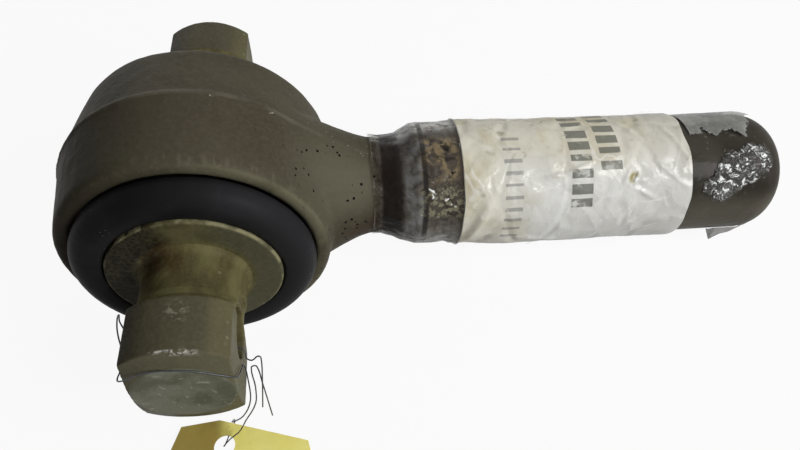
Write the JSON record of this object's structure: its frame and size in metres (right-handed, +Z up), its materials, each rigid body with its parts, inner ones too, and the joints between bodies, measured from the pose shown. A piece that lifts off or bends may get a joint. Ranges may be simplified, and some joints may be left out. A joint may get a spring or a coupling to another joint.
{
  "type": "rod end bearing",
  "caption": "Torque rod end: forged eye with a rubber bush, a through bar pin with drilled flat tangs, and a threaded shank wrapped in cap, paper and film.",
  "frame": {"origin": "middle of the part's footprint on the bench, below its bounding box", "axes": "+X along the rod from the eye to the shank's end (the shank dips a little), +Y along the bar pin to the rear, +Z up"},
  "size_m": [0.2921, 0.2609, 0.1076],
  "materials": {
    "olive_paint": "dull olive paint on a forging",
    "pin_paint": "dull olive paint on machined steel",
    "plain_steel": "plain",
    "black_rubber": "smooth moulded",
    "brown_plastic": "dark satin",
    "white_paper": "stained paper",
    "clear_film": "clear glossy film",
    "wire_steel": "dark annealed",
    "yellow_card": "matt card"
  },
  "bodies": {
    "rod_end": {"rod_end_forging": "olive_paint", "front_outer_sleeve": "plain_steel", "rear_outer_sleeve": "plain_steel", "front_snap_ring": "plain_steel", "rear_snap_ring": "plain_steel", "thread_protector": "brown_plastic", "instruction_label": "white_paper", "clear_film": "clear_film"},
    "bush": {"rubber_bush": "black_rubber"},
    "pin": {"bar_pin": "pin_paint", "front_thrust_washer": "pin_paint", "rear_thrust_washer": "pin_paint", "tag_wire": "wire_steel", "stock_tag": "yellow_card"}
  },
  "joints": [
    {"name": "pin_tilt", "type": "hinge", "parent": "rod_end", "child": "bush", "pos_m": [-0.09231, 0, 0.0538], "axis": [0.9915, 0, -0.1302], "range_deg": [-6, 6], "stiffness_Nm_per_rad": 60, "deforming": ["rubber_bush"]},
    {"name": "pin_twist", "type": "hinge", "parent": "bush", "child": "pin", "pos_m": [-0.09231, 0, 0.0538], "axis": [0, 1, 0], "range_deg": [-15, 15], "stiffness_Nm_per_rad": 20, "deforming": ["rubber_bush"]}
  ]
}
